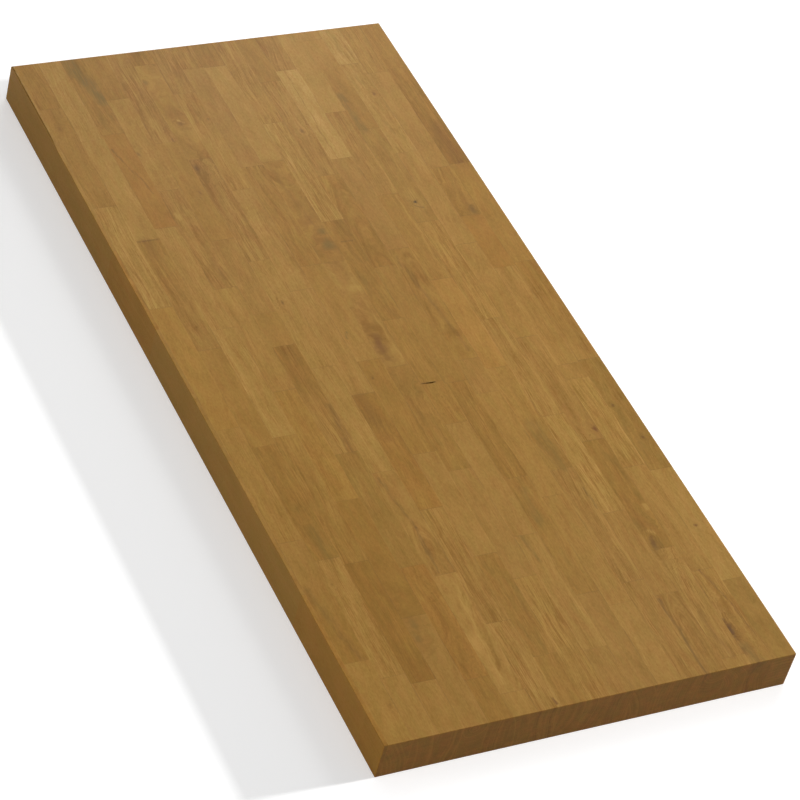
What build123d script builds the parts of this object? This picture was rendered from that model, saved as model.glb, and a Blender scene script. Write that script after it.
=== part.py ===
"""Butcher block countertop: an edge-glued slab of hardwood staves, at its real size in millimetres.

The slab lies flat. X runs along its length, Y across its depth and Z up from the underside, and the
origin is the centre of the underside. Every stave is as thick as the slab and shows its edge on the
top. Staves are laid end to end in rows, and the rows are glued side by side with their butt joints
staggered. The blank is then sawn to length and depth, which leaves only a strip of the outermost row
on the -Y edge, and the arrises are rounded over.
"""

from build123d import *

import math
import os
from itertools import cycle

# The finished slab.
LENGTH = 1397.0
DEPTH = 635.0
THICKNESS = 63.5

# The staves, the strip that the rip saw leaves of the row on the -Y edge, and the glue between pieces.
STAVE_WIDTH = 37.0
EDGE_STRIP_WIDTH = 6.0
GLUE_LINE = 0.1

# The round-over along every outer arris.
ARRIS_RADIUS = 2.0

# The shortest offcut of a stave and the narrowest strip of a row that are left as pieces of their own.
# Where sawing to size would leave less, the piece before it runs on to the edge instead.
SHORTEST_OFFCUT = 12.0
NARROWEST_STRIP = 3.0

# The cutting list of the strip on the -Y edge: the lengths of its staves, laid end to end from the -X
# end. The last stave of a row is sawn off flush at the +X end, so its listed length may be longer.
EDGE_CUTTING_LIST = [205, 225, 171, 269, 257, 213, 226]

# The cutting lists of the full rows, from the row beside the strip to the row on the +Y edge.
CUTTING_LISTS = [
    [108, 229, 223, 252, 221, 222, 230],
    [190, 228, 238, 199, 220, 215, 232],
    [182, 216, 222, 223, 247, 219, 236],
    [105, 215, 220, 218, 221, 221, 230],
    [215, 225, 162, 70, 222, 221, 207, 228],
    [34, 228, 232, 232, 214, 200, 216, 235],
    [110, 230, 227, 223, 232, 216, 225],
    [55, 238, 227, 207, 193, 200, 188, 224],
    [57, 231, 232, 228, 214, 210, 240],
    [203, 231, 221, 135, 85, 225, 215, 226],
    [108, 227, 210, 252, 198, 226, 219],
    [86, 216, 211, 244, 71, 212, 210, 222],
    [197, 198, 194, 194, 212, 222, 236],
    [22, 223, 220, 220, 208, 197, 160, 231],
    [90, 218, 216, 209, 220, 218, 207, 225],
    [118, 234, 113, 120, 215, 31, 184, 207, 218],
    [113, 236, 230, 218, 232, 219, 234],
]


def stave_spans(cutting_list):
    """Start and end of each stave along a row, laid end to end from 0 until the length is filled."""
    spans = []
    start = 0.0
    for listed_length in cycle(cutting_list):
        end = start + listed_length
        if LENGTH - end < SHORTEST_OFFCUT:
            spans.append((start, LENGTH))
            return spans
        spans.append((start, end))
        start = end


def stave_rows():
    """Each row's node name, cutting list and span across the slab, counted from the -Y edge.

    Where full rows don't fill the depth, the rip saw leaves a strip on the +Y edge too.
    """
    full_rows = math.floor((DEPTH - EDGE_STRIP_WIDTH + GLUE_LINE) / STAVE_WIDTH)
    leftover = DEPTH - EDGE_STRIP_WIDTH - full_rows * STAVE_WIDTH
    cutting_lists = cycle(CUTTING_LISTS)
    rows = [("edge_strip", EDGE_CUTTING_LIST, (0.0, EDGE_STRIP_WIDTH))]
    for row in range(full_rows):
        start = EDGE_STRIP_WIDTH + row * STAVE_WIDTH
        end = start + STAVE_WIDTH
        if row == full_rows - 1 and leftover < NARROWEST_STRIP:
            end = DEPTH
        rows.append((f"stave_row_{row + 1:02d}", next(cutting_lists), (start, end)))
    if leftover >= NARROWEST_STRIP:
        rows.append(("far_edge_strip", next(cutting_lists), (DEPTH - leftover, DEPTH)))
    return rows


def eased_slab():
    """The outline of the finished slab, with every arris rounded over."""
    slab = Box(LENGTH, DEPTH, THICKNESS, align=(Align.CENTER, Align.CENTER, Align.MIN))
    return fillet(slab.edges(), ARRIS_RADIUS)


def clear_of_glue(span, total):
    """A span drawn back by half a glue line at each end, except at an outer side of the slab."""
    low, high = span
    if low > 0:
        low += GLUE_LINE / 2
    if high < total:
        high -= GLUE_LINE / 2
    return low, high


def reaches_arris(span, total):
    """Whether a span reaches the round-over at either end of the total."""
    return span[0] < ARRIS_RADIUS or span[1] > total - ARRIS_RADIUS


def stave(x_span, y_span, outline):
    """One stave, from its spans along and across the slab, eased where it lies on the outside."""
    x_low, x_high = clear_of_glue(x_span, LENGTH)
    y_low, y_high = clear_of_glue(y_span, DEPTH)
    corner = (Align.MIN, Align.MIN, Align.MIN)
    piece = Box(x_high - x_low, y_high - y_low, THICKNESS, align=corner)
    piece = Pos(x_low - LENGTH / 2, y_low - DEPTH / 2, 0) * piece
    if reaches_arris(x_span, LENGTH) or reaches_arris(y_span, DEPTH):
        piece = piece & outline
    return piece.solid()


def stave_row(cutting_list, y_span, outline):
    """The staves of one row, laid end to end, each a solid of its own."""
    staves = [stave(x_span, y_span, outline) for x_span in stave_spans(cutting_list)]
    return Compound(children=staves)


def main():
    """Writes each row of staves to a file of its own."""
    os.makedirs("parts", exist_ok=True)
    outline = eased_slab()
    for name, cutting_list, y_span in stave_rows():
        export_step(stave_row(cutting_list, y_span, outline), f"parts/{name}.step")


main()
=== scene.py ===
"""Looks of a butcher block countertop: its hardwood staves, their figure and oiled finish, and a studio.

Lengths are metres in the frame, and millimetres where a value says so. Marks in the wood are placed by
row, by the distance along it from the slab's -X end and by the distance across it from its -Y side.
"""

import logging
import math
import random
from collections.abc import Callable
from dataclasses import dataclass, field
from enum import Enum

import bpy
from mathutils import Matrix, Vector


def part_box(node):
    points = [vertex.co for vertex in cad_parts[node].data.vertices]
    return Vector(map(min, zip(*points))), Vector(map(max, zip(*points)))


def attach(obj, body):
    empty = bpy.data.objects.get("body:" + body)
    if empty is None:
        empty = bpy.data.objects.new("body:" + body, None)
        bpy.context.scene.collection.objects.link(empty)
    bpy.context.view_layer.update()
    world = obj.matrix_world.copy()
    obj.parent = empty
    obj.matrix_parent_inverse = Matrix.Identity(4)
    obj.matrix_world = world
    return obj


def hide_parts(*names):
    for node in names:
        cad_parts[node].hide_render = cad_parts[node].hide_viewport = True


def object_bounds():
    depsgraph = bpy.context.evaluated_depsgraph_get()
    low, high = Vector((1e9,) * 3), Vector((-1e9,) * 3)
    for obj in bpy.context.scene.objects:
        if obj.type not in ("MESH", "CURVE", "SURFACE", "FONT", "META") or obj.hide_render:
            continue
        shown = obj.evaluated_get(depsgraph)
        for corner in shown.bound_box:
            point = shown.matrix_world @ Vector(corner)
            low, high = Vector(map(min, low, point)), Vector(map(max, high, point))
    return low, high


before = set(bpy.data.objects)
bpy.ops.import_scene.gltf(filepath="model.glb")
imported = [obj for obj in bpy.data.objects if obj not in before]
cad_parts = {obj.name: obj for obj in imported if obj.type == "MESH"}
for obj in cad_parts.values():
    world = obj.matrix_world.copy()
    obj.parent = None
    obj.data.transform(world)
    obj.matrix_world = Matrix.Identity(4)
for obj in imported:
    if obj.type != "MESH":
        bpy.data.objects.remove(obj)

CAD_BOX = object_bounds()
LOG = logging.getLogger("countertop")

MM = 0.001
SLAB_LOW, SLAB_HIGH = Vector(CAD_BOX[0]), Vector(CAD_BOX[1])

# How near a place is to count as lying on a side of the slab, and how near two corners are to be one.
TOUCHING = 0.001 * MM
WELD = 0.01 * MM

# Types that the hints below share: a colour as linear values, one socket, and a node's inputs or outputs.
Colour = tuple[float, float, float]
Socket = bpy.types.NodeSocket
Sockets = bpy.types.bpy_prop_collection

WHITE: Colour = (1.0, 1.0, 1.0)


def linear(srgb: tuple[int, int, int]) -> Colour:
    """A colour written as sRGB values from 0 to 255, as linear values from 0 to 1."""
    channels = []
    for value in srgb:
        share = value / 255
        channels.append(share / 12.92 if share <= 0.04045 else ((share + 0.055) / 1.055) ** 2.4)
    return tuple(channels)


class Tone(Enum):
    """Colours of the oiled wood, stave by stave, as sRGB values from 0 to 255."""

    CREAM = (160, 123, 58)
    BLOND = (154, 116, 51)
    STRAW = (152, 114, 49)
    MARIGOLD = (153, 111, 45)
    HONEY = (150, 111, 47)
    APRICOT = (149, 109, 42)
    GOLD = (149, 110, 45)
    AMBER = (148, 105, 40)
    TAN = (146, 107, 44)
    TOFFEE = (144, 105, 40)
    OLIVE = (141, 104, 40)
    RUST = (144, 102, 37)
    BROWN = (141, 102, 37)
    UMBER = (139, 100, 35)
    WALNUT = (134, 95, 31)


@dataclass(frozen=True)
class Sawing:
    """How a stave was sawn from its log, and how strongly its figure shows.

    Attributes:
        heart_across: Distance of the log's heart to the stave's side, in millimetres.
        heart_down: Distance of the heart below the stave's middle, in millimetres.
        ring_width: Width of a year ring, in millimetres.
        rings: Strength of the year rings' dark lines.
        streaks: Strength of the lengthwise streaks.
        ripple: Strength of the bands that cross a curly stave.
        clouds: Strength of the mineral clouds.
        flecks: Strength of the small bird's-eye flecks.
    """

    heart_across: float
    heart_down: float
    ring_width: float
    rings: float
    streaks: float
    ripple: float = 0.15
    clouds: float = 0.1
    flecks: float = 0.1


class Figure(Enum):
    """The kinds of figure that the staves show on their upper face."""

    QUARTER = Sawing(170, 10, 2.6, 0.45, 0.8)
    LINED = Sawing(120, 15, 2.2, 1.0, 1.7)
    RIFT = Sawing(90, 70, 3.4, 0.6, 1.2)
    FLAT = Sawing(8, 70, 4.0, 0.9, 1.0)
    SMOOTH = Sawing(60, 150, 6.0, 0.18, 0.45)
    RIPPED = Sawing(10, 160, 7.0, 0.2, 0.5)
    CURLY = Sawing(110, 60, 3.6, 0.35, 0.8, ripple=1.0)
    CLOUDED = Sawing(80, 60, 4.2, 0.4, 0.9, clouds=1.0)
    BIRDSEYE = Sawing(70, 110, 4.0, 0.3, 0.8, ripple=0.4, flecks=1.0)


class Stain(Enum):
    """Colours of the marks in the wood, as sRGB values from 0 to 255."""

    BLACK = (44, 30, 16)
    DARK = (88, 58, 24)
    RED = (104, 62, 24)
    BROWN = (118, 80, 30)
    OLIVE = (108, 86, 36)
    PALE = (172, 134, 66)


@dataclass(frozen=True)
class Knot:
    """A knot or pin knot that comes up through one stave.

    Attributes:
        along: Place along the row, in millimetres.
        across: Place across the row, in millimetres.
        radius: Radius of the dark core across the grain, in millimetres.
        stain: Colour of the core.
        strength: How much of the core's colour shows.
        length: How many times longer than wide the core is.
    """

    along: float
    across: float
    radius: float
    stain: Stain = Stain.DARK
    strength: float = 0.6
    length: float = 1.5


@dataclass(frozen=True)
class Streak:
    """A mineral line, smudge or pale sap line, or painted shade in an open joint, from one point of a row to
    another.

    Attributes:
        start: Place along and across the row where it starts, in millimetres.
        end: Place along and across the row where it ends, in millimetres.
        width: Half its width, in millimetres.
        stain: Its colour.
        strength: How much of its colour shows.
    """

    start: tuple[float, float]
    end: tuple[float, float]
    width: float
    stain: Stain = Stain.DARK
    strength: float = 0.5


# Each stave's tone and figure, row by row from the ripped edge, and along each row from the -X end.
# Two tones joined by > run from the first at the -X end to the second at the +X end.
STAVE_LOOKS = {
    "edge_strip": "tan:ripped tan:ripped amber:flat tan:ripped tan:ripped amber:ripped rust:flat",
    "stave_row_01": "brown:rift toffee:quarter straw:lined apricot:smooth gold:quarter tan>brown:smooth "
                    "gold:smooth",
    "stave_row_02": "blond:quarter straw:smooth brown>tan:rift toffee:smooth brown:clouded honey:lined "
                    "honey:smooth",
    "stave_row_03": "umber>toffee:clouded rust:smooth honey:quarter straw:quarter toffee:rift "
                    "walnut:quarter tan:smooth",
    "stave_row_04": "brown:quarter gold:curly tan:rift gold:quarter apricot:curly umber:smooth "
                    "tan:smooth",
    "stave_row_05": "tan:lined toffee:smooth tan:quarter toffee:smooth walnut>tan:lined olive:quarter "
                    "rust:birdseye brown:quarter",
    "stave_row_06": "umber:lined toffee:flat tan:lined straw:quarter straw:quarter tan:flat honey:flat "
                    "gold:smooth",
    "stave_row_07": "tan:lined gold:rift honey:curly honey:quarter walnut>rust:birdseye tan:lined "
                    "honey:lined",
    "stave_row_08": "toffee:lined tan:smooth toffee>brown:rift toffee>honey:smooth brown:quarter "
                    "honey:smooth toffee:clouded toffee:quarter",
    "stave_row_09": "brown:quarter straw:smooth toffee>umber:flat gold:flat toffee:clouded tan:smooth "
                    "gold:lined",
    "stave_row_10": "gold:lined straw:lined umber>brown:clouded toffee:clouded toffee:birdseye "
                    "honey:smooth honey:quarter tan:quarter",
    "stave_row_11": "toffee:smooth honey>tan:rift toffee>umber:flat toffee:smooth toffee>brown:rift "
                    "toffee:clouded tan:smooth",
    "stave_row_12": "tan:rift cream:smooth tan:smooth toffee:flat tan:quarter gold:smooth gold:quarter "
                    "honey:smooth",
    "stave_row_13": "straw:smooth tan:rift toffee:quarter marigold:smooth gold>toffee:curly tan:lined "
                    "tan:flat",
    "stave_row_14": "honey:smooth gold>brown:smooth olive:quarter gold:lined honey:lined straw:lined "
                    "tan:quarter tan:flat",
    "stave_row_15": "cream:clouded blond:clouded honey:smooth gold:smooth tan:rift brown:clouded "
                    "honey>tan:lined honey:quarter",
    "stave_row_16": "gold:rift honey>tan:smooth toffee>umber:rift rust:smooth honey:quarter tan:smooth "
                    "straw:lined honey:quarter gold>tan:lined",
    "stave_row_17": "toffee:quarter brown>walnut:rift toffee:smooth umber>tan:rift olive:clouded "
                    "blond:smooth olive:smooth",
}

# Where the glue joint at a stave's -X end has opened: the row and the stave's number in it, and then the
# distance across the row and the width of the gap there, both in millimetres.
OPEN_JOINTS = {
    ("stave_row_10", 5): ((2, 0.0), (9, 1.3), (18, 2.4), (26, 0.0)),
}

# Where the heart lies beside and below the middle of each row's last stave, whose rings the near end shows.
END_HEARTS = {
    "stave_row_01": (-120, 45),
    "stave_row_02": (-140, 12),
    "stave_row_03": (-150, -10),
    "stave_row_04": (2, -32),
    "stave_row_05": (150, 0),
    "stave_row_06": (-150, 25),
    "stave_row_07": (160, -15),
    "stave_row_08": (-62, -22),
    "stave_row_09": (-140, -18),
    "stave_row_10": (150, 12),
    "stave_row_11": (-105, 38),
    "stave_row_12": (170, 0),
    "stave_row_13": (150, 8),
    "stave_row_14": (2, -26),
    "stave_row_15": (-34, 6),
    "stave_row_16": (160, 0),
    "stave_row_17": (4, 90),
}

# The marks of each row.
MARKS = {
    "stave_row_01": [
        Knot(1335, 31, 2.2, Stain.BROWN, 0.6),
        Knot(155, 16, 3, Stain.RED, 0.4),
        Streak((1121, 4), (1250, 26), 5, Stain.DARK, 0.3),
    ],
    "stave_row_02": [
        Knot(452, 32, 1.4, Stain.BROWN, 0.6),
        Knot(610, 17, 1.4, Stain.BROWN, 0.6),
        Knot(1120, 6, 1.4, Stain.BROWN, 0.6),
        Streak((418, 12), (455, 16), 9, Stain.BROWN, 0.4),
        Streak((420, 3), (420, 34), 1.4, Stain.DARK, 0.5),
        Streak((1020, 20), (1073, 22), 9, Stain.OLIVE, 0.4),
    ],
    "stave_row_03": [
        Streak((-5, 8), (105, 33), 11, Stain.OLIVE, 0.85),
        Streak((215, 3), (322, 30), 1.8, Stain.DARK, 0.5),
    ],
    "stave_row_04": [
        Knot(233, 3, 2.8, Stain.RED, 0.6),
        Knot(1214, 12, 5.5, Stain.OLIVE, 0.45, 2.2),
        Knot(1238, 7, 5, Stain.OLIVE, 0.45, 2.0),
        Streak((372, 8), (384, 9), 3, Stain.PALE, 0.7),
        Streak((480, 24), (520, 25), 5, Stain.BROWN, 0.5),
    ],
    "stave_row_05": [
        Knot(335, 26, 2.4, Stain.RED, 0.6),
        Knot(211, 31, 1.8, Stain.RED, 0.6, 3.0),
        Streak((165, 18), (214, 18), 6, Stain.PALE, 0.5),
        Streak((800, 34), (893, 26), 5, Stain.DARK, 0.35),
    ],
    "stave_row_06": [
        Knot(75, 3, 5, Stain.OLIVE, 0.5),
        Knot(178, 22, 5, Stain.BROWN, 0.8, 1.3),
        Knot(282, 5, 4.5, Stain.DARK, 0.7, 2.0),
        Knot(587, 16, 2.6),
        Streak((170, 20), (176, 26), 2.2, Stain.PALE, 0.8),
        Streak((950, 6), (1050, 18), 2, Stain.DARK, 0.4),
        Streak((1050, 18), (1135, 12), 2, Stain.DARK, 0.4),
        Streak((1150, 26), (1340, 12), 2.4, Stain.PALE, 0.6),
    ],
    "stave_row_07": [
        Knot(175, 31, 1.6, Stain.OLIVE, 0.6, 2.5),
        Streak((1381, 29), (1391, 31), 1.5, Stain.RED, 0.9),
        Streak((795, 10), (880, 14), 9, Stain.RED, 0.25),
    ],
    "stave_row_08": [
        Knot(763, 9, 1.8),
        Streak((666, 12), (678, 5), 2.4, Stain.OLIVE, 0.9),
    ],
    "stave_row_09": [
        Knot(455, 30, 9, Stain.OLIVE, 0.75, 1.1),
        Knot(483, 26, 9, Stain.OLIVE, 0.75, 1.2),
        Knot(702, 11, 9, Stain.RED, 0.7, 2.8),
        Streak((560, 30), (740, 33), 2.4, Stain.PALE, 0.4),
        Streak((300, 8), (440, 22), 3, Stain.BROWN, 0.35),
    ],
    "stave_row_10": [
        Streak((481, 9), (482, 29), 1.2, Stain.DARK, 0.5),
        # This dark line is painted shade in the open joint at the -X end of the fifth stave.
        Streak((790, 4), (791, 24), 1.6, Stain.DARK, 0.7),
        Streak((1105, 30), (1312, 31), 3, Stain.PALE, 0.3),
        Streak((1102, 10), (1150, 16), 3, Stain.OLIVE, 0.4),
    ],
    "stave_row_11": [
        Knot(230, 20, 3.6, Stain.DARK, 0.5),
        Streak((1022, 18), (1080, 12), 7, Stain.OLIVE, 0.35),
    ],
    "stave_row_12": [
        Streak((88, 15), (300, 12), 0.9, Stain.BROWN, 0.6),
        Streak((1312, 9), (1360, 3), 1.6, Stain.PALE, 0.6),
        Streak((530, 8), (740, 30), 3, Stain.DARK, 0.3),
    ],
    "stave_row_13": [
        Streak((905, 18), (990, 20), 14, Stain.OLIVE, 0.45),
        Streak((400, 31), (588, 31), 2, Stain.PALE, 0.4),
        Streak((1038, 33), (1078, 34), 2.2, Stain.DARK, 0.5),
    ],
    "stave_row_14": [
        Streak((398, 17), (432, 20), 9, Stain.PALE, 0.5),
        Knot(420, 18, 3.0, Stain.BLACK, 1.0, 1.2),
        Streak((428, 12), (434, 25), 1.4, Stain.DARK, 0.6),
        Streak((160, 5), (195, 7), 6, Stain.OLIVE, 0.6),
        Streak((207, 6), (245, 9), 8, Stain.OLIVE, 0.6),
        Streak((1258, 2), (1398, 3), 3, Stain.DARK, 0.5),
        Streak((1040, 20), (1085, 24), 5, Stain.PALE, 0.3),
    ],
    "stave_row_15": [
        Knot(167, 26, 2.6, Stain.RED, 0.7),
        Knot(933, 32, 3.8, Stain.RED, 0.9),
        Knot(1160, 9, 5, Stain.DARK, 0.6, 2.6),
        Streak((1136, 14), (1142, 20), 3, Stain.PALE, 0.7),
        Streak((1088, 32), (1097, 33), 2.4, Stain.PALE, 0.6),
        Streak((1293, 10), (1378, 17), 5, Stain.BROWN, 0.45),
    ],
    "stave_row_16": [
        Knot(453, 27, 6, Stain.DARK, 0.6, 2.0),
        Knot(1334, 2.5, 4, Stain.DARK, 0.95, 4.5),
        Knot(1372, 3, 3.5, Stain.BROWN, 0.7, 2.2),
        Streak((1222, 14), (1290, 29), 1.6, Stain.RED, 0.55),
        Streak((1290, 29), (1352, 33), 1.6, Stain.RED, 0.55),
        Streak((1366, 8), (1398, 16), 8, Stain.OLIVE, 0.5),
    ],
    "stave_row_17": [
        Knot(895, 8, 2.4),
        Knot(965, 22, 2.4),
        Knot(1143, 14, 2.6, Stain.RED, 0.8, 1.2),
        Streak((262, 16), (345, 20), 14, Stain.RED, 0.35),
    ],
}


class Tree:
    """Adds and links the nodes of one material or node group.

    Attributes:
        nodes: The nodes of the tree.
        links: The links of the tree.
    """

    def __init__(self, tree: bpy.types.NodeTree) -> None:
        """Wraps a tree.

        Args:
            tree: The tree to add nodes to.
        """
        self.nodes = tree.nodes
        self.links = tree.links

    def add(
        self, kind: str, inputs: dict[str | int, object] | None = None, **settings: object
    ) -> bpy.types.Node:
        """Adds a node.

        Args:
            kind: The node's type, without the ShaderNode prefix.
            inputs: What each input takes: a socket to link, or a value to set.
            **settings: Properties of the node.

        Returns:
            The new node.
        """
        node = self.nodes.new("ShaderNode" + kind)
        for name, value in settings.items():
            setattr(node, name, value)
        for name, value in (inputs or {}).items():
            self.feed(node.inputs[name], value)
        return node

    def feed(self, socket: Socket, value: object) -> None:
        """Links a socket to another, or sets its value."""
        if isinstance(value, bpy.types.NodeSocket):
            self.links.new(value, socket)
        else:
            socket.default_value = value

    def math(self, operation: str, *values: object, clamp: bool = False) -> Socket:
        """The result of a Math node on one, two or three values."""
        node = self.add("Math", dict(enumerate(values)), operation=operation, use_clamp=clamp)
        return node.outputs[0]

    def product(self, first: object, *others: object) -> Socket:
        """The product of two or more values."""
        for other in others:
            first = self.math("MULTIPLY", first, other)
        return first

    def centred(self, noise: Socket) -> Socket:
        """Noise about 0, from noise about a half."""
        return self.math("SUBTRACT", noise, 0.5)

    def long_side(self, first: object, second: object) -> Socket:
        """The long side of the right triangle that has these short ones."""
        squares = (self.math("POWER", side, 2) for side in (first, second))
        return self.math("SQRT", self.math("ADD", *squares))

    def vector(self, operation: str, *values: object) -> Socket:
        """The result of a Vector Math node: a number where the operation gives one, or else a vector."""
        node = self.add("VectorMath", dict(enumerate(values)), operation=operation)
        return node.outputs["Value" if operation in ("DOT_PRODUCT", "DISTANCE") else "Vector"]

    def scaled(self, vector: object, scale: object) -> Socket:
        """A vector made longer or shorter."""
        return self.add("VectorMath", {0: vector, "Scale": scale}, operation="SCALE").outputs["Vector"]

    def combine(self, x: object, y: object, z: object) -> Socket:
        """A vector from its three parts."""
        return self.add("CombineXYZ", {0: x, 1: y, 2: z}).outputs[0]

    def split(self, vector: Socket) -> tuple[Socket, ...]:
        """The three parts of a vector."""
        return tuple(self.add("SeparateXYZ", {0: vector}).outputs)

    def noise(self, vector: object, detail: float = 2.0, output: str = "Fac") -> Socket:
        """Smooth noise from 0 to 1, about one blot for each unit of the vector."""
        return self.add("TexNoise", {"Vector": vector, "Scale": 1.0, "Detail": detail}).outputs[output]

    def stretched_noise(self, place: object, blots: tuple[float, float, float], detail: float) -> Socket:
        """Smooth noise from 0 to 1, with so many blots to the unit along each axis."""
        return self.noise(self.vector("MULTIPLY", place, blots), detail)

    def ease(
        self, value: object, low: float, high: float, start: float = 0.0, end: float = 1.0
    ) -> Socket:
        """The value eased from start, where it is at low, to end, where it is at high."""
        inputs = {"Value": value, "From Min": low, "From Max": high, "To Min": start, "To Max": end}
        return self.add("MapRange", inputs, interpolation_type="SMOOTHSTEP").outputs["Result"]

    def mix(self, share: object, first: object, second: object, blend: str = "MIX") -> Socket:
        """A colour mixed from two."""
        node = self.add("Mix", data_type="RGBA", blend_type=blend, clamp_factor=True)
        self.feed(node.inputs["Factor"], share)
        self.feed(node.inputs[6], first)
        self.feed(node.inputs[7], second)
        return node.outputs[2]

    def tint(self, share: object, colour: Socket, factor: object) -> Socket:
        """A colour multiplied by a factor, as far as the share says."""
        return self.mix(share, colour, factor, "MULTIPLY")

    def attribute(self, name: str, output: str = "Vector") -> Socket:
        """An attribute of the mesh."""
        return self.add("Attribute", attribute_name=name, attribute_type="GEOMETRY").outputs[output]

    def group(self, tree: bpy.types.NodeTree, inputs: dict[str, object]) -> Sockets:
        """Places a node group with its own values and returns its outputs."""
        node = self.add("Group", node_tree=tree)
        for name, value in inputs.items():
            self.feed(node.inputs[name], value)
        return node.outputs


def opaque(colour: Colour) -> tuple[float, float, float, float]:
    """A colour with full alpha, as colour sockets take it."""
    return (*colour, 1.0)


def emptied(owner: bpy.types.Material | bpy.types.World) -> Tree:
    """Clears the nodes of a material or a world, ready for new ones."""
    owner.use_nodes = True
    owner.node_tree.nodes.clear()
    return Tree(owner.node_tree)


def new_group(
    name: str, inputs: dict[str, str], outputs: dict[str, str]
) -> tuple[bpy.types.NodeTree, Tree, Sockets, Sockets]:
    """Makes an empty node group with named sockets.

    Args:
        name: The group's name.
        inputs: Name and socket type of each input.
        outputs: Name and socket type of each output.

    Returns:
        The group, its tree helper, its input sockets and its output sockets.
    """
    group = bpy.data.node_groups.new(name, "ShaderNodeTree")
    for label, kind in inputs.items():
        group.interface.new_socket(name=label, in_out="INPUT", socket_type="NodeSocket" + kind)
    for label, kind in outputs.items():
        group.interface.new_socket(name=label, in_out="OUTPUT", socket_type="NodeSocket" + kind)
    entry = group.nodes.new("NodeGroupInput")
    leave = group.nodes.new("NodeGroupOutput")
    return group, Tree(group), entry.outputs, leave.inputs


class Blot(Enum):
    """How long, wide and high the soft patches of the figure are, in millimetres."""

    WANDER = (120, 55, 55)
    LIVELY = (80, 12, 15)
    BLOTCH = (48, 15, 20)
    SPECKLE = (4.5, 2.0, 3)
    HUE = (40, 12, 16)
    CLOUD = (42, 11, 30)


# The streaks along the grain, from fine fibres to wide bands: each one's length and width in millimetres,
# its detail and its weight.
STREAKS = ((24, 0.9, 2.0, 0.85), (58, 2.4, 2.0, 0.6), (130, 7.0, 1.0, 0.5), (230, 18.0, 1.0, 0.4))

# How much the blotches and the speckles lighten and darken the wood.
PATCHES = ((Blot.BLOTCH, 0.6), (Blot.SPECKLE, 0.85))


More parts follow.
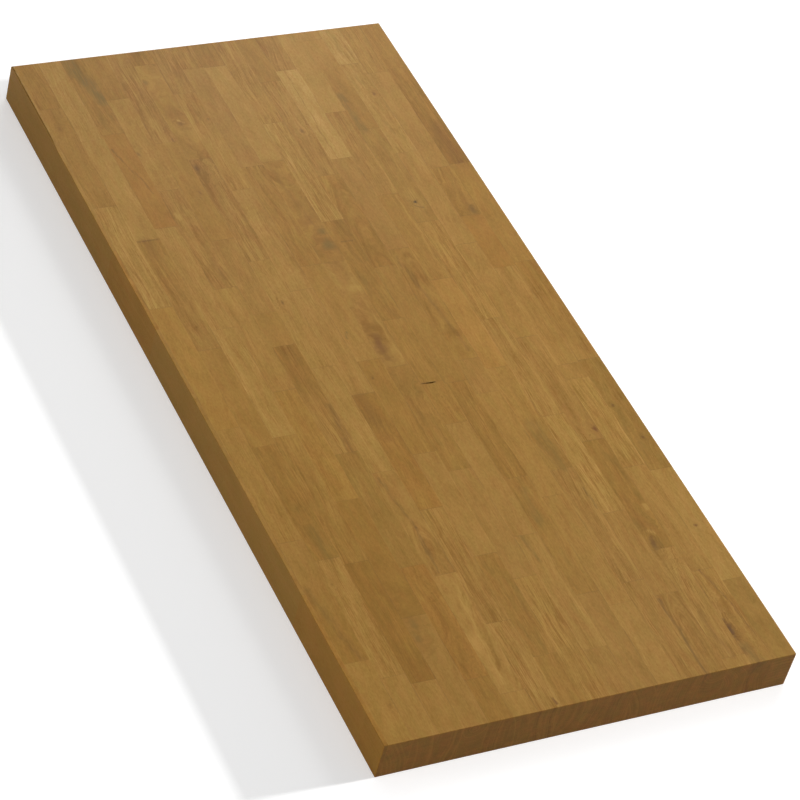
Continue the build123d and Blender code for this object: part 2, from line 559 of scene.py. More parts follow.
def stave_figure_group() -> bpy.types.NodeTree:
    """The figure of solid wood round the heart of a log, in millimetres of the stave's own space."""
    group, t, given, out = new_group(
        "Stave figure",
        {"Position": "Vector", "Heart": "Vector", "Run": "Vector", "Contrast": "Vector", "Seed": "Float"},
        dict.fromkeys(("Shade", "Ring", "Hue", "Ripple", "Cloud", "Fleck", "Pore", "Fibre", "Ray"), "Float"),
    )
    x, y, z = t.split(given["Position"])
    heart_y, heart_z, ring_width = t.split(given["Heart"])
    run_y, run_z, wander = t.split(given["Run"])
    ring_contrast, streak_contrast, _ = t.split(given["Contrast"])
    seed = given["Seed"]

    def over(value: Socket, size: object) -> Socket:
        """A value counted in steps of a size."""
        return t.math("DIVIDE", value, size)

    def blots(blot: Blot, detail: float, output: str = "Fac") -> Socket:
        """Noise in soft patches of one kind."""
        length, width, height = blot.value
        at = t.combine(over(x, length), t.math("ADD", over(y, width), seed), over(z, height))
        return t.noise(at, detail, output)

    # The grain wanders slowly along the stave, a little differently across it.
    drift = t.split(blots(Blot.WANDER, 1.0, "Color"))
    shifted = []
    for place, heart, run, noise in ((y, heart_y, run_y, drift[0]), (z, heart_z, run_z, drift[1])):
        straight = t.math("SUBTRACT", t.math("SUBTRACT", place, heart), t.product(run, x))
        shifted.append(t.math("ADD", straight, t.product(t.centred(noise), wander)))
    radius = t.long_side(*shifted)

    # Year rings rise slowly to a dark line and end sharply, no two alike, and they fade in and out.
    uneven = t.noise(t.combine(over(radius, 7), seed, 3.0), 1.0)
    ring = t.math("ADD", over(radius, ring_width), t.product(uneven, 1.1))
    share = t.math("FRACT", ring)
    rise = t.product(t.ease(share, 0.3, 0.88), t.ease(share, 0.9, 1.0, 1.0, 0.0))
    fading_at = t.combine(t.math("FLOOR", ring), seed, over(x, 75))
    line = t.product(rise, t.ease(t.noise(fading_at, 1.0), 0.35, 0.7))
    t.feed(out["Ring"], line)
    shade = t.math("MULTIPLY_ADD", t.product(line, ring_contrast), -0.4, 0.55)

    # Streaks follow the rings along the stave, strong in some places and faint in others.
    lively = t.product(streak_contrast, t.ease(blots(Blot.LIVELY, 1.0), 0.34, 0.66, 0.45, 1.6))
    for length, width, detail, weight in STREAKS:
        at = t.combine(over(x, length), over(radius, width), t.math("ADD", seed, width))
        streak = t.product(t.centred(t.noise(at, detail)), weight)
        shade = t.math("MULTIPLY_ADD", streak, lively, shade)
    for blot, weight in PATCHES:
        shade = t.math("MULTIPLY_ADD", t.centred(blots(blot, 2.0)), weight, shade)
    t.feed(out["Shade"], shade)
    t.feed(out["Hue"], t.ease(blots(Blot.HUE, 2.0), 0.3, 0.7))

    # Curly bands cross the stave in patches, and clouds and bird's-eye flecks lie here and there.
    patch_at = t.combine(over(x, 50), t.math("ADD", over(y, 16), seed), 7.0)
    patch = t.ease(t.noise(patch_at, 1.0), 0.35, 0.65, 0.2, 1.0)
    slanted = t.math("MULTIPLY_ADD", y, 0.05, over(x, 7))
    ripple_at = t.combine(slanted, t.math("ADD", over(y, 15), seed), 0.0)
    t.feed(out["Ripple"], t.product(t.centred(t.noise(ripple_at, 2.0)), patch))
    t.feed(out["Cloud"], t.ease(blots(Blot.CLOUD, 3.0), 0.46, 0.74))
    fleck_at = t.combine(over(x, 4.4), over(y, 2.3), t.math("ADD", seed, over(z, 8)))
    t.feed(out["Fleck"], t.ease(t.noise(fleck_at, 1.0), 0.58, 0.78))

    # Pores and fibres run with the grain, and rays run out from the heart.
    pore_at = t.combine(over(x, 5), over(shifted[0], 0.4), over(shifted[1], 0.4))
    t.feed(out["Pore"], t.ease(t.noise(pore_at, 0.0), 0.64, 0.78))
    fibre_at = t.combine(over(x, 24), over(shifted[0], 0.3), over(shifted[1], 0.3))
    t.feed(out["Fibre"], t.noise(fibre_at, 1.0))
    turn = t.math("ARCTAN2", shifted[1], shifted[0])
    ray_at = t.combine(t.product(turn, 55), over(radius, 22), t.math("ADD", seed, over(x, 30)))
    t.feed(out["Ray"], t.centred(t.noise(ray_at, 1.0)))
    return group


def knot_group() -> bpy.types.NodeTree:
    """A knot that grows from under the top face: it turns the grain aside and stains its core."""
    places = dict.fromkeys(("Slab Position", "Grain Position", "Centre"), "Vector")
    group, t, given, out = new_group(
        "Knot",
        {**places, "Radius": "Float", "Length": "Float"},
        {"Grain Position": "Vector", "Core": "Float", "Halo": "Float"},
    )
    offset = t.vector("SUBTRACT", given["Slab Position"], given["Centre"])
    offset_x, offset_y, offset_z = t.split(offset)

    # Its outline is uneven, and it grows thinner downwards.
    wobble_at = t.vector("ADD", t.scaled(offset, t.math("DIVIDE", 0.7, given["Radius"])), given["Centre"])
    wobble = t.math("MULTIPLY_ADD", t.noise(wobble_at, 4.0), 2.4, -0.15)
    shallow = t.ease(offset_z, -34, -6, 0.35, 1.0)
    reach = t.product(given["Radius"], shallow, wobble)
    near = []
    for stretch in (1.0, 2.2):
        along = t.math("DIVIDE", offset_x, t.product(given["Length"], stretch))
        near.append(t.math("DIVIDE", t.long_side(along, offset_y), reach))
    t.feed(out["Core"], t.ease(near[0], 0.0, 1.5, 1.0, 0.0))

    # A halo smears out along the grain, and the grain bends round the core.
    smear = t.ease(t.stretched_noise(given["Slab Position"], (0.07, 0.55, 0.1), 2.0), 0.3, 0.65, 0.25, 1.0)
    t.feed(out["Halo"], t.product(t.ease(near[1], 0.3, 4.4, 1.0, 0.0), smear))
    bend = t.product(offset_y, t.ease(near[0], 0.2, 6.0, -0.8, 0.0))
    t.feed(out["Grain Position"], t.vector("ADD", given["Grain Position"], t.combine(0.0, bend, 0.0)))
    return group


def streak_group() -> bpy.types.NodeTree:
    """A soft line between two points of the top face, broken up along the grain."""
    group, t, given, out = new_group(
        "Mineral streak",
        {"Slab Position": "Vector", "Start": "Vector", "Reach": "Vector", "Width": "Float"},
        {"Mask": "Float"},
    )
    slab, reach = given["Slab Position"], given["Reach"]

    # The line sways from side to side, so its distance is taken from a swaying place.
    sway = t.product(t.centred(t.stretched_noise(slab, (0.035, 0.1, 0.05), 4.0)), 13.0)
    offset = t.vector("ADD", t.vector("SUBTRACT", slab, given["Start"]), t.combine(0.0, sway, 0.0))
    flat = t.vector("MULTIPLY", offset, (1.0, 1.0, 0.0))
    along = t.vector("DOT_PRODUCT", flat, reach)
    share = t.math("DIVIDE", along, t.vector("DOT_PRODUCT", reach, reach), clamp=True)
    gap = t.vector("DISTANCE", flat, t.scaled(reach, share))

    # It is uneven in width, broken up, and fades out below the top face.
    breakup = t.ease(t.stretched_noise(slab, (0.045, 0.6, 0.1), 3.0), 0.3, 0.62, 0.15, 1.0)
    uneven = t.math("MULTIPLY_ADD", t.stretched_noise(slab, (0.09, 0.15, 0.1), 2.0), 1.6, 0.3)
    soft = t.ease(t.math("DIVIDE", gap, t.product(given["Width"], uneven)), 0.0, 1.6, 1.0, 0.0)
    depth = t.ease(t.split(offset)[2], -30, -4)
    t.feed(out["Mask"], t.product(soft, breakup, depth))
    return group


def glue_line_and_highlight_group() -> bpy.types.NodeTree:
    """The thin dark line of glue at a stave's sides and ends, and along some of its sides a painted
    highlight instead.
    """
    group, t, given, out = new_group(
        "Glue line and joint highlight",
        {"Position": "Vector", "Half Size": "Vector", "Seed": "Float"},
        {"Line": "Float", "End": "Float", "Joint highlight": "Float"},
    )
    inside = t.vector("SUBTRACT", given["Half Size"], t.vector("ABSOLUTE", given["Position"]))
    from_end, from_side, _ = t.split(inside)
    broad = t.vector("MULTIPLY", given["Position"], (0.02, 0.02, 0.02))
    patchy_at = t.vector("ADD", broad, t.combine(given["Seed"], 0.0, 0.0))
    patchy = t.ease(t.noise(patchy_at, 1.0), 0.4, 0.65)
    side = t.ease(from_side, 0.1, 0.9, 1.0, 0.0)
    # Some sides carry a painted highlight instead of the dark line.
    highlight_side = t.ease(from_side, 0.2, 1.8, 1.0, 0.0)
    end = t.ease(from_end, 0.15, 1.3, 1.0, 0.0)
    t.feed(out["Line"], t.product(side, patchy))
    t.feed(out["Joint highlight"], t.product(highlight_side, t.math("SUBTRACT", 1.0, patchy)))
    t.feed(out["End"], t.product(end, t.math("MULTIPLY_ADD", patchy, 0.6, 0.4)))
    return group


def rubbed_and_highlit_edge_group() -> bpy.types.NodeTree:
    """The rounded arrises, lightened where handling has rubbed the oil off them and as a painted highlight
    along them.
    """
    inputs = {"Arris": "Float", "Slab Position": "Vector"}
    group, t, given, out = new_group("Edge rubbing and highlight", inputs, {"Rubbed and highlit": "Float"})
    patchy = t.stretched_noise(given["Slab Position"], (0.06, 0.06, 0.06), 3.0)
    t.feed(out["Rubbed and highlit"], t.product(given["Arris"], t.ease(patchy, 0.35, 0.65, 0.35, 1.0)))
    return group


@dataclass(frozen=True)
class OiledWood:
    """The sanded and oiled finish of every stave.

    Attributes:
        name: The finish's name, which starts the names of its materials.
        late: What the wood's tone is multiplied by in its darkest streaks.
        early: What the tone is multiplied by in its lightest streaks.
        middle: The shade that a calm side fades to, from 0 in the darkest streaks to 1 in the lightest.
        cloud: What the tone is multiplied by in a mineral cloud.
        olive: What the tone is multiplied by where the wood turns greenish.
        rosy: What the tone is multiplied by where it turns reddish.
        curl: Strength of the bands that cross a curly stave.
        fleck_share: How much of the darkest streaks' colour shows in a fleck.
        pore_share: How much of it shows in a pore.
        halo_share: How much of its colour the halo of a knot shows.
        end_grain: What the tone is multiplied by on sawn ends, which soak up more oil.
        end_tone: The tone that sawn ends come near to, whatever the stave's own.
        end_evenness: How near they come to it.
        end_rings: How much lighter the year rings make the end grain.
        end_rays: How much the rays lighten and darken it.
        end_lift: How much lighter it is all over.
        glue: Colour of the glue lines.
        glue_side: How much of it shows along a stave's sides.
        glue_end: How much of it shows at a stave's ends.
        joint_highlight: What the tone is multiplied by in the painted highlight along some of a stave's
            sides.
        joint_highlight_share: How much of that shows.
        rubbed_and_highlit_tint: What the tone is multiplied by on rubbed arrises, which is also a painted
            highlight along them.
        rubbed_and_highlit_share: How much of that shows.
        roughness: Roughness of the oiled face grain.
        fibre_roughness: How much the fibres make it vary.
        pore_roughness: How much rougher a pore is.
        end_roughness: How much rougher the sawn ends are.
        specular: Strength of its reflections.
        side_calm: How far the figure of the long sides fades to an even tone.
        bump: Strength of the raised grain.
        relief: Height of the raised fibres and pores, in metres.
        glue_depth: How far the glue lies below them, in that height.
    """

    name: str = "oiled"
    late: Colour = (0.74, 0.65, 0.42)
    early: Colour = (1.20, 1.28, 1.56)
    middle: float = 0.54
    cloud: Colour = (0.86, 0.87, 0.82)
    olive: Colour = (0.965, 1.005, 0.94)
    rosy: Colour = (1.025, 0.985, 1.0)
    curl: float = 0.6
    fleck_share: float = 0.6
    pore_share: float = 0.35
    halo_share: float = 0.3
    end_grain: Colour = (0.69, 0.59, 0.36)
    end_tone: Colour = linear((150, 108, 41))
    end_evenness: float = 0.7
    end_rings: float = 0.7
    end_rays: float = 0.6
    end_lift: float = 0.03
    glue: Colour = linear((84, 58, 32))
    glue_side: float = 0.32
    glue_end: float = 0.2
    joint_highlight: Colour = (1.2, 1.22, 1.4)
    joint_highlight_share: float = 0.5
    rubbed_and_highlit_tint: Colour = (1.3, 1.3, 1.32)
    rubbed_and_highlit_share: float = 0.35
    roughness: float = 0.42
    fibre_roughness: float = 0.10
    pore_roughness: float = 0.12
    end_roughness: float = 0.14
    specular: float = 0.12
    side_calm: float = 0.5
    bump: float = 0.6
    relief: float = 0.00006
    glue_depth: float = 1.5

    def material(self, row: "StaveRow", kit: "GroupKit") -> bpy.types.Material:
        """Makes the material of one row, with that row's marks in it.

        Args:
            row: The row to dress.
            kit: The shared node groups.

        Returns:
            The material.
        """
        material = bpy.data.materials.new(f"{self.name}_{row.name}")
        t = emptied(material)
        slab, centre = (
            t.vector("MULTIPLY", place, (1 / MM, 1 / MM, 1 / MM))
            for place in (t.add("TexCoord").outputs["Object"], t.attribute("stave_centre"))
        )
        stave = t.vector("SUBTRACT", slab, centre)
        seed = t.attribute("seed", "Fac")
        grain, stains = self.marks(t, row, kit, slab, stave)
        figure = t.group(kit.figure, {
            "Position": grain,
            "Heart": t.attribute("heart"),
            "Run": t.attribute("run"),
            "Contrast": t.attribute("contrast"),
            "Seed": seed,
        })
        glue = t.group(kit.glue, {"Position": stave, "Half Size": t.attribute("half_size"), "Seed": seed})
        rubbed_and_highlit = t.group(kit.rubbed_and_highlit, {"Arris": t.attribute("arris", "Fac"), "Slab Position": slab})["Rubbed and highlit"]
        end_grain, side = self.sawn_masks(t)
        lively = t.math("MULTIPLY_ADD", side, -self.side_calm, 1.0)
        face = t.math("SUBTRACT", 1.0, side)
        at_side, at_end = t.product(glue["Line"], self.glue_side), t.product(glue["End"], self.glue_end)
        glued = t.product(t.math("MAXIMUM", at_side, at_end), face, t.math("SUBTRACT", 1.0, end_grain))

        colour = self.bare_wood(t, figure, end_grain, lively)
        for mask, stain in stains:
            colour = t.mix(t.product(mask, lively), colour, opaque(stain))
        colour = t.tint(t.product(figure["Pore"], self.pore_share), colour, opaque(self.late))
        colour = t.tint(end_grain, colour, opaque(self.end_grain))
        # A painted highlight along some stave joints lightens the tone there.
        colour = t.tint(t.product(glue["Joint highlight"], self.joint_highlight_share, face), colour, opaque(self.joint_highlight))
        colour = t.mix(glued, colour, opaque(self.glue))
        # The rounded arrises are lightened where the oil is rubbed off, and as a painted highlight along
        # them.
        colour = t.tint(t.product(rubbed_and_highlit, self.rubbed_and_highlit_share), colour, opaque(self.rubbed_and_highlit_tint))

        even = self.roughness - self.fibre_roughness / 2
        rough = t.math("MULTIPLY_ADD", figure["Fibre"], self.fibre_roughness, even)
        rough = t.math("MULTIPLY_ADD", figure["Pore"], self.pore_roughness, rough)
        rough = t.math("MULTIPLY_ADD", end_grain, self.end_roughness, rough)
        height = t.math("SUBTRACT", figure["Fibre"], figure["Pore"])
        height = t.math("MULTIPLY_ADD", glued, -self.glue_depth, height)
        bump = t.add("Bump", {"Strength": self.bump, "Distance": self.relief, "Height": height})
        shader = t.add("BsdfPrincipled", {
            "Base Color": colour,
            "Roughness": rough,
            "Normal": bump.outputs[0],
            "Specular IOR Level": self.specular,
        })
        t.add("OutputMaterial", {"Surface": shader.outputs[0]})
        return material

    def bare_wood(self, t: Tree, figure: Sockets, end_grain: Socket, lively: Socket) -> Socket:
        """The colour of the wood with its rings, streaks, clouds and flecks.

        Args:
            t: The material's tree.
            figure: What the figure group puts out.
            end_grain: The mask of the sawn ends.
            lively: How strongly the figure shows.

        Returns:
            The colour.
        """
        ripple, cloud, fleck = t.split(t.attribute("figure"))
        own = t.attribute("tone", "Color")
        tone = t.mix(t.product(end_grain, self.end_evenness), own, opaque(self.end_tone))
        drift = t.mix(figure["Hue"], opaque(self.olive), opaque(self.rosy))
        tone = t.tint(end_grain, t.tint(1.0, tone, drift), drift)
        shade = t.math("MULTIPLY_ADD", t.product(figure["Ripple"], ripple), self.curl, figure["Shade"])
        rays = t.product(figure["Ray"], self.end_rays)
        ringed = t.math("MULTIPLY_ADD", figure["Ring"], self.end_rings, rays)
        shade = t.math("MULTIPLY_ADD", end_grain, t.math("ADD", ringed, self.end_lift), shade)
        shade = t.math("MULTIPLY_ADD", t.math("SUBTRACT", shade, self.middle), lively, self.middle)
        dark, light = (t.tint(1.0, tone, opaque(factor)) for factor in (self.late, self.early))
        colour = t.mix(shade, dark, light)
        colour = t.tint(t.product(figure["Cloud"], cloud, lively), colour, opaque(self.cloud))
        flecked = t.product(figure["Fleck"], fleck, self.fleck_share, lively)
        return t.tint(flecked, colour, opaque(self.late))

    def marks(
        self, t: Tree, row: "StaveRow", kit: "GroupKit", slab: Socket, stave: Socket
    ) -> tuple[Socket, list[tuple[Socket, Colour]]]:
        """Places the row's knots and streaks.

        Args:
            t: The material's tree.
            row: The row, which knows where its marks lie.
            kit: The shared node groups.
            slab: The position in the slab, in millimetres.
            stave: The position in the stave, in millimetres.

        Returns:
            The stave position with the grain bent round the knots, and a mask and a colour for each stain.
        """
        grain = stave
        stains = []
        for mark in row.marks:
            colour = linear(mark.stain.value)
            if isinstance(mark, Knot):
                placed = t.group(kit.knot, {
                    "Slab Position": slab,
                    "Grain Position": grain,
                    "Centre": row.on_top(mark.along, mark.across),
                    "Radius": mark.radius,
                    "Length": mark.length,
                })
                grain = placed["Grain Position"]
                halo = t.product(placed["Halo"], self.halo_share * mark.strength)
                stains.append((halo, linear(Stain.BROWN.value)))
                stains.append((t.product(placed["Core"], mark.strength), colour))
            else:
                start, end = Vector(row.on_top(*mark.start)), Vector(row.on_top(*mark.end))
                inputs = {"Slab Position": slab, "Start": start, "Reach": end - start, "Width": mark.width}
                mask = t.group(kit.streak, inputs)["Mask"]
                stains.append((t.product(mask, mark.strength), colour))
        return grain, stains

    def sawn_masks(self, t: Tree) -> tuple[Socket, Socket]:
        """A mask of the sawn ends, which face along the slab, and one of the sides, which face across it."""
        along, across, _ = t.split(t.add("NewGeometry").outputs["Normal"])
        end_grain = t.ease(t.math("ABSOLUTE", along), 0.45, 0.9)
        side = t.ease(t.math("ABSOLUTE", across), 0.6, 0.95)
        return end_grain, side


@dataclass
class GroupKit:
    """The node groups that the rows' materials share.

    Attributes:
        figure: The figure of the wood.
        knot: A knot.
        streak: A mineral streak.
        glue: The glue lines, and the painted highlight along some of them.
        rubbed_and_highlit: The rubbed arrises, with a painted highlight on them.
    """

    figure: bpy.types.NodeTree = field(default_factory=stave_figure_group)
    knot: bpy.types.NodeTree = field(default_factory=knot_group)
    streak: bpy.types.NodeTree = field(default_factory=streak_group)
    glue: bpy.types.NodeTree = field(default_factory=glue_line_and_highlight_group)
    rubbed_and_highlit: bpy.types.NodeTree = field(default_factory=rubbed_and_highlit_edge_group)


def deselect_all() -> None:
    """Deselects every object, because an operator acts on all that is selected."""
    bpy.ops.object.select_all(action="DESELECT")


def select_edges(piece: bpy.types.Object, wanted: Callable[[Vector, Vector], bool]) -> None:
    """Selects the edges of a piece in edit mode for which wanted(first, second) holds.

    Args:
        piece: The piece, which is active and in edit mode.
        wanted: A test on the places of an edge's two ends.
    """
    bpy.ops.mesh.select_all(action="DESELECT")
    bpy.ops.object.mode_set(mode="OBJECT")
    mesh = piece.data
    for edge in mesh.edges:
        first, second = (mesh.vertices[i].co for i in edge.vertices)
        edge.select = wanted(first, second)
    bpy.ops.object.mode_set(mode="EDIT")
    bpy.ops.mesh.select_mode(type="EDGE")


def on_outside(place: Vector) -> int:
    """On how many outer sides of the slab a place lies."""
    count = 0
    for axis in range(3):
        if min(place[axis] - SLAB_LOW[axis], SLAB_HIGH[axis] - place[axis]) < TOUCHING:
            count += 1
    return count


def outer_arris(first: Vector, second: Vector) -> bool:
    """Whether an edge runs along an arris of the slab."""
    return on_outside((first + second) / 2) >= 2


# Where the values of each type of attribute are kept.
ATTRIBUTE_FIELDS = {"FLOAT": "value", "FLOAT_VECTOR": "vector", "FLOAT_COLOR": "color"}


def write_attribute(mesh: bpy.types.Mesh, name: str, kind: str, values: list[float]) -> None:
    """Writes one attribute of a mesh's vertices.

    Args:
        mesh: The mesh.
        name: The attribute's name.
        kind: Its data type.
        values: The numbers of every vertex, one vertex after the other.
    """
    attribute = mesh.attributes.new(name, kind, "POINT")
    attribute.data.foreach_set(ATTRIBUTE_FIELDS[kind], values)


@dataclass
class Stave:
    """One stave of the countertop.

    Attributes:
        low: Its lowest corner.
        high: Its highest corner.
        tones: Its tone at the -X end and at the +X end.
        sawing: How it was sawn.
        heart: Where the heart of its log lies beside and below it, in millimetres.
        chance: Its own source of random numbers.
        arris_radius: Radius of the slab's outer arrises.
        arris_segments: How many faces go round an arris.
        arris_profile: The shape of the arris, from 0.5 for round to 1 for square.
        gap: Distance across and width of the opening of its joint at the -X end, in millimetres.
        gap_depth: How deep that joint is open.
        cuts: How many times its length is divided, so that its tone can change along it.
    """

    low: Vector
    high: Vector
    tones: tuple[Tone, Tone]
    sawing: Sawing
    heart: tuple[float, float]
    chance: random.Random
    arris_radius: float = 2 * MM
    arris_segments: int = 4
    arris_profile: float = 0.85
    gap: tuple[tuple[float, float], ...] = ()
    gap_depth: float = 6 * MM
    cuts: int = 5

    def build(self) -> bpy.types.Object:
        """Models the stave as a sawn block with its outer arrises rounded over, and paints it.

        Returns:
            The stave, with its place in its mesh.
        """
        deselect_all()
        bpy.ops.mesh.primitive_cube_add(size=1, location=(self.low + self.high) / 2)
        piece = bpy.context.active_object
        bpy.ops.transform.resize(value=self.high - self.low)
        bpy.ops.object.transform_apply(location=True, rotation=True, scale=True)
        bpy.ops.object.mode_set(mode="EDIT")
        select_edges(piece, lambda first, second: abs(first.x - second.x) > MM)
        bpy.ops.mesh.subdivide(number_cuts=self.cuts)
        select_edges(piece, outer_arris)
        if any(edge.select for edge in piece.data.edges):
            rounding = {"segments": self.arris_segments, "profile": self.arris_profile}
            bpy.ops.mesh.bevel(offset=self.arris_radius, affect="EDGES", **rounding)
        self.open_joint(piece)
        bpy.ops.object.mode_set(mode="OBJECT")
        self.paint(piece.data)
        return piece

    def open_joint(self, piece: bpy.types.Object) -> None:
        """Cuts the stave's top across and down at its open joint, and draws the joint's edge back.

        Args:
            piece: The stave, which is active and in edit mode.
        """
        if not self.gap:
            return
        cuts = [((0, self.low.y + across * MM, 0), (0, 1, 0)) for across, _ in self.gap]
        cuts.append(((0, 0, self.high.z - self.gap_depth), (0, 0, 1)))
        for place, normal in cuts:
            bpy.ops.mesh.select_all(action="SELECT")
            bpy.ops.mesh.bisect(plane_co=place, plane_no=normal)
        for across, width in self.gap:
            edge_of_gap = Vector((self.low.x, self.low.y + across * MM, self.high.z))
            select_edges(piece, lambda first, second: False)
            bpy.ops.mesh.select_mode(type="VERT")
            bpy.ops.object.mode_set(mode="OBJECT")
            for vertex in piece.data.vertices:
                vertex.select = (vertex.co - edge_of_gap).length < WELD
            bpy.ops.object.mode_set(mode="EDIT")
            bpy.ops.transform.translate(value=(width * MM, 0, 0))

    def paint(self, mesh: bpy.types.Mesh) -> None:
        """Writes what the wood's material reads into the mesh's attributes."""
        chance = self.chance
        side = chance.choice((-1, 1))
        ring_width = self.sawing.ring_width * chance.uniform(0.85, 1.2)
        wander = chance.uniform(6, 16)
        run = (chance.uniform(-0.02, 0.02), side * chance.uniform(0.02, 0.07), wander)
        same = {
            "stave_centre": (self.low + self.high) / 2,
            "half_size": (self.high - self.low) / 2 / MM,
            "heart": (self.heart[0], -self.heart[1], ring_width),
            "run": run,
            "contrast": (self.sawing.rings, self.sawing.streaks, 0.0),
            "figure": (self.sawing.ripple, self.sawing.clouds, self.sawing.flecks),
        }
        count = len(mesh.vertices)
        for name, value in same.items():
            write_attribute(mesh, name, "FLOAT_VECTOR", list(value) * count)
        write_attribute(mesh, "seed", "FLOAT", [chance.uniform(0, 90)] * count)
        places = [vertex.co for vertex in mesh.vertices]
        write_attribute(mesh, "arris", "FLOAT", [self.arris_share(place) for place in places])
        start, end = (Vector(linear(each.value)) for each in self.tones)
        jitter = chance.uniform(0.985, 1.015)
        colours = []
        for place in places:
            share = (place.x - self.low.x) / (self.high.x - self.low.x)
            colours.extend(opaque(start.lerp(end, share * share * (3 - 2 * share)) * jitter))
        write_attribute(mesh, "tone", "FLOAT_COLOR", colours)

    def arris_share(self, place: Vector) -> float:
        """How far round an outer arris a place lies: 1 in its middle and 0 where it meets a face."""
        depths = []
        for axis in range(3):
            inside = min(place[axis] - SLAB_LOW[axis], SLAB_HIGH[axis] - place[axis])
            if inside < self.arris_radius * 0.999:
                depths.append(inside / self.arris_radius)
        if len(depths) < 2:
            return 0.0
        return min(1.0, 4 * sum(sorted(depths)[:2]))


@dataclass
class StaveRow:
    """One row of staves, which stands for one node of the frame.

    Attributes:
        name: The row's name, which is also its node's.
        looks: The tone and figure of each stave, in words.
        marks: The marks in its staves.
        end_heart: Where the heart lies beside and below the last stave, if that is given.
        kit: The shared node groups.
        finish: The finish of the wood.
        side_finish: The finish where the row lies on a long side of the slab.
        side_skin: How near to that side a face lies to take it.
        glue_closing: How much of a glue line each of its two staves takes up, which leaves a hair.
        smooth_angle: The angle, in degrees, up to which faces are shaded as one.
    """

    name: str
    looks: list[str]
    marks: list[Knot | Streak]
    end_heart: tuple[float, float] | None
    kit: GroupKit
    finish: OiledWood
    side_finish: OiledWood
    side_skin: float = 0.2 * MM
    glue_closing: float = 0.04 * MM
    smooth_angle: float = 25.0

    def on_top(self, along: float, across: float) -> tuple[float, float, float]:
        """A place on the row's top face, in millimetres from the slab's origin.

        Args:
            along: Distance along the row from the slab's -X end, in millimetres.
            across: Distance across the row from its -Y side, in millimetres.

        Returns:
            The place.
        """
        low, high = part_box(self.name)
        return (low.x / MM + along, low.y / MM + across, high.z / MM)

    def boxes(self) -> list[tuple[Vector, Vector]]:
        """The lowest and highest corner of each stave of the node, from the -X end."""
        deselect_all()
        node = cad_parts[self.name]
        copy = bpy.data.objects.new("copy_of_" + self.name, node.data.copy())
        bpy.context.scene.collection.objects.link(copy)
        copy.select_set(True)
        bpy.context.view_layer.objects.active = copy
        bpy.ops.object.mode_set(mode="EDIT")
        bpy.ops.mesh.select_all(action="SELECT")
        bpy.ops.mesh.remove_doubles(threshold=WELD)
        bpy.ops.mesh.separate(type="LOOSE")
        bpy.ops.object.mode_set(mode="OBJECT")
        found = []
        for part in list(bpy.context.selected_objects):
            corners = [vertex.co for vertex in part.data.vertices]
            low = Vector(min(corner[axis] for corner in corners) for axis in range(3))
            high = Vector(max(corner[axis] for corner in corners) for axis in range(3))
            found.append(self.glued_up(low, high))
            bpy.data.objects.remove(part)
        return sorted(found, key=lambda box: box[0].x)

    def glued_up(self, low: Vector, high: Vector) -> tuple[Vector, Vector]:
        """Closes the glue lines round a stave, which are sanded flush, and leaves its outer sides alone.

        Args:
            low: The lowest corner of the stave's solid.
            high: The highest corner.

        Returns:
            The corners of the stave as it is dressed.
        """
        for axis in range(3):
            if low[axis] > SLAB_LOW[axis] + TOUCHING:
                low[axis] -= self.glue_closing
            if high[axis] < SLAB_HIGH[axis] - TOUCHING:
                high[axis] += self.glue_closing
        return low, high

    def staves(self) -> list[Stave]:
        """The staves of the row, each with its own look."""
        staves = []
        boxes = self.boxes()
        for number, (low, high) in enumerate(boxes):
            named, kind = self.looks[number % len(self.looks)].upper().split(":")
            first, _, last = named.partition(">")
            sawing = Figure[kind].value
            chance = random.Random(f"{self.name}-{number}")
            side = chance.choice((-1, 1))
            heart = (
                side * sawing.heart_across * chance.uniform(0.8, 1.2) + chance.uniform(-8, 8),
                chance.choice((-1, 1)) * sawing.heart_down * chance.uniform(0.8, 1.2),
            )
            if number == len(boxes) - 1 and self.end_heart:
                heart = self.end_heart
            gap = OPEN_JOINTS.get((self.name, number + 1), ())
            tones = (Tone[first], Tone[last or first])
            staves.append(Stave(low, high, tones, sawing, heart, chance, gap=gap))
        return staves

    def build(self) -> bpy.types.Object:
        """Builds and dresses the row, and puts it in its node's place.

        Returns:
            The finished piece.
        """
        pieces = [stave.build() for stave in self.staves()]
        deselect_all()
        for piece in pieces:
            piece.select_set(True)
        bpy.context.view_layer.objects.active = pieces[0]
        bpy.ops.object.join()
        row = bpy.context.active_object
        row.name = row.data.name = "oiled_" + self.name
        bpy.ops.object.shade_smooth_by_angle(angle=math.radians(self.smooth_angle))
        row.data.materials.clear()
        row.data.materials.append(self.finish.material(self, self.kit))
        self.dress_long_side(row.data)
        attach(row, "root")
        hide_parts(self.name)
        return row

    def dress_long_side(self, mesh: bpy.types.Mesh) -> None:
        """Gives the faces that lie on a long side of the slab the finish of that side.

        Args:
            mesh: The row's mesh.
        """
        outer = []
        for face in mesh.polygons:
            if min(face.center.y - SLAB_LOW.y, SLAB_HIGH.y - face.center.y) < self.side_skin:
                outer.append(face)
        if not outer:
            return
        mesh.materials.append(self.side_finish.material(self, self.kit))
        for face in outer:
            face.material_index = 1


@dataclass
class Countertop:
    """The whole slab of staves.

    Attributes:
        kit: The node groups that the rows share.
        finish: The finish of the wood.
        side_finish: The finish of the long sides, which were sawn last and took up less oil.
    """

    kit: GroupKit = field(default_factory=GroupKit)
    finish: OiledWood = OiledWood()
    side_finish: OiledWood = OiledWood("sawn", specular=0.03)

    def build(self) -> None:
        """Builds every row of staves that the frame holds."""
        default = list(STAVE_LOOKS.values())
        for number, name in enumerate(sorted(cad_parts)):
            looks = STAVE_LOOKS.get(name, default[number % len(default)]).split()
            marks, end_heart = MARKS.get(name, []), END_HEARTS.get(name)
            row = StaveRow(name, looks, marks, end_heart, self.kit, self.finish, self.side_finish)
            piece = row.build()
            LOG.info("%s: %d faces", piece.name, len(piece.data.polygons))


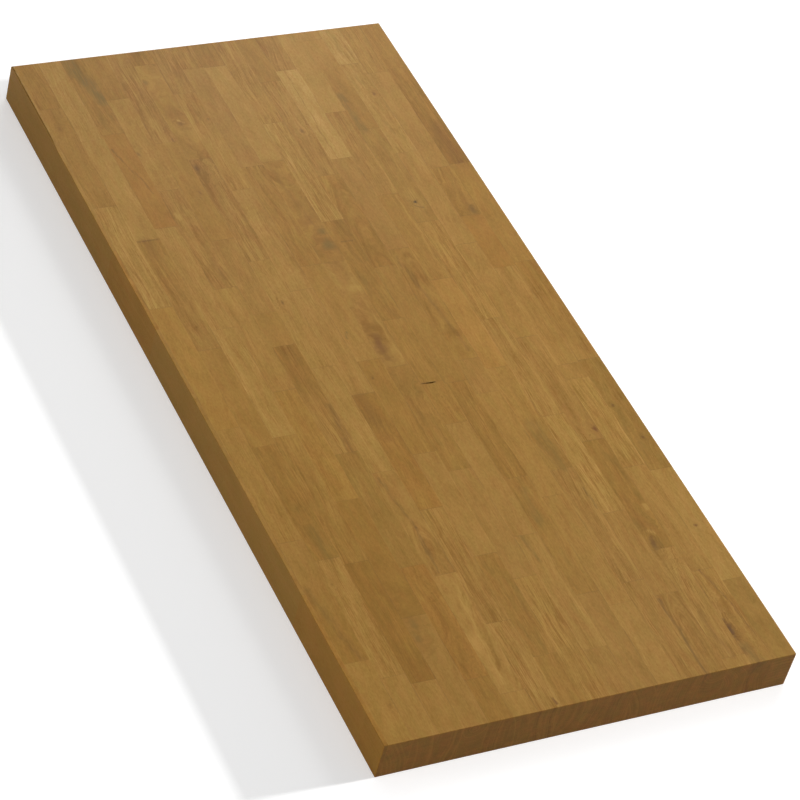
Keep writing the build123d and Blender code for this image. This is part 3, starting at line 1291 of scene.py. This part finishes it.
@dataclass(frozen=True)
class SoftBox:
    """A soft area light.

    Attributes:
        name: Its name.
        place: Where it hangs, in metres.
        aim: What it points at, in metres.
        size: Its width and height, in metres.
        power: Its power, in watts.
    """

    name: str
    place: tuple[float, float, float]
    aim: tuple[float, float, float]
    size: tuple[float, float]
    power: float

    def hang(self) -> bpy.types.Object:
        """Makes the light, pointed at its aim."""
        light = bpy.data.lights.new(self.name, "AREA")
        light.shape = "RECTANGLE"
        light.size, light.size_y = self.size
        light.energy = self.power
        lamp = bpy.data.objects.new(self.name, light)
        bpy.context.scene.collection.objects.link(lamp)
        lamp.location = self.place
        lamp.rotation_euler = (Vector(self.aim) - Vector(self.place)).to_track_quat("-Z", "Y").to_euler()
        return lamp


@dataclass
class Studio:
    """A pale floor, soft lights and the camera.

    Attributes:
        floor_size: Width of the floor, in metres.
        floor_colour: Grey of the floor, which lights the slab's sides from below.
        floor_glow: What the camera sees on top of the floor's own light, so that it reads white.
        sky: Strength of the even light from all round.
        camera_place: Where the camera stands, in metres.
        camera_forward: The way it looks.
        camera_up: Which way is up in its picture.
        camera_lens: Its focal length, in millimetres.
        camera_sensor: Width of its sensor, in millimetres.
        camera_reach: How far it sees, in metres.
        lights: The soft boxes.
    """

    floor_size: float = 30.0
    floor_colour: float = 0.8
    floor_glow: float = 0.34
    sky: float = 0.19
    camera_place: tuple[float, float, float] = (2.9791, -2.1065, 3.2791)
    camera_forward: tuple[float, float, float] = (-0.59869, 0.43557, -0.67220)
    camera_up: tuple[float, float, float] = (-0.68599, 0.15442, 0.71103)
    camera_lens: float = 150.57
    camera_sensor: float = 36.0
    camera_reach: float = 100.0
    lights: tuple[SoftBox, ...] = (
        SoftBox("overhead", (-0.6, -0.4, 2.6), (-0.3, -0.1, 0.0), (1.6, 1.6), 8),
        SoftBox("camera_side", (1.3, -1.3, 2.6), (0.0, 0.0, 0.0), (2.4, 2.4), 10),
        SoftBox("right_key", (1.0, 6.8, 2.45), (0.0, 0.0, 0.0), (0.48, 0.28), 665),
        SoftBox("right_sheen", (-1.8, 1.1, 1.1), (-0.5, 0.2, 0.0), (1.2, 0.8), 6.4),
        SoftBox("far_sheen", (-2.6, 0.9, 1.3), (-0.6, 0.1, 0.0), (1.0, 0.6), 9.5),
        SoftBox("near_sheen", (-0.3, 1.1, 1.5), (0.5, 0.1, 0.0), (0.6, 0.4), 4.8),
        SoftBox("left_fill", (0.8, -3.0, 1.2), (0.3, 0.0, 0.0), (2.0, 1.0), 26),
    )

    def build(self) -> None:
        """Builds the floor, the world, the lights and the camera."""
        self.lay_floor()
        self.light_world()
        for light in self.lights:
            light.hang()
        self.set_camera()

    def lay_floor(self) -> None:
        """Lays a pale floor that reads white and keeps the slab's shadow."""
        deselect_all()
        bpy.ops.mesh.primitive_plane_add(size=self.floor_size, location=(0, 0, SLAB_LOW.z))
        floor = bpy.context.active_object
        floor.name = "floor"
        material = bpy.data.materials.new("floor_white")
        t = emptied(material)
        matt = t.add("BsdfDiffuse", {"Color": opaque((self.floor_colour,) * 3)})
        strength = t.product(self.seen(t), self.floor_glow)
        glow = t.add("Emission", {"Color": opaque(WHITE), "Strength": strength})
        both = t.add("AddShader", {0: matt.outputs[0], 1: glow.outputs[0]})
        t.add("OutputMaterial", {"Surface": both.outputs[0]})
        floor.data.materials.append(material)

    def light_world(self) -> None:
        """Gives the even light from all round, and a white backdrop to the camera."""
        world = bpy.data.worlds.new("studio")
        bpy.context.scene.world = world
        t = emptied(world)
        strength = t.math("MULTIPLY_ADD", self.seen(t), 1.0 - self.sky, self.sky)
        sky = t.add("Background", {"Color": opaque(WHITE), "Strength": strength})
        t.add("OutputWorld", {"Surface": sky.outputs[0]})

    def seen(self, t: Tree) -> Socket:
        """1 for rays that are seen, straight or in a gloss or glass, and 0 for those that only light."""
        path = t.add("LightPath").outputs
        indirect = t.math("MAXIMUM", path["Is Glossy Ray"], path["Is Transmission Ray"])
        return t.math("MAXIMUM", path["Is Camera Ray"], indirect)

    def set_camera(self) -> None:
        """Stands the camera where the photograph was taken from."""
        camera = bpy.data.cameras.new("camera")
        camera.sensor_width = self.camera_sensor
        camera.lens = self.camera_lens
        camera.clip_end = self.camera_reach
        viewer = bpy.data.objects.new("camera", camera)
        bpy.context.scene.collection.objects.link(viewer)
        forward = Vector(self.camera_forward).normalized()
        right = forward.cross(Vector(self.camera_up)).normalized()
        up = right.cross(forward)
        turn = Matrix((right, up, -forward)).transposed().to_4x4()
        viewer.matrix_world = Matrix.Translation(self.camera_place) @ turn
        bpy.context.scene.camera = viewer


def main() -> None:
    """Builds the countertop and the studio."""
    logging.basicConfig(level=logging.INFO)
    bpy.context.scene.view_settings.view_transform = "Standard"
    Countertop().build()
    Studio().build()


if __name__ == "__main__":
    main()
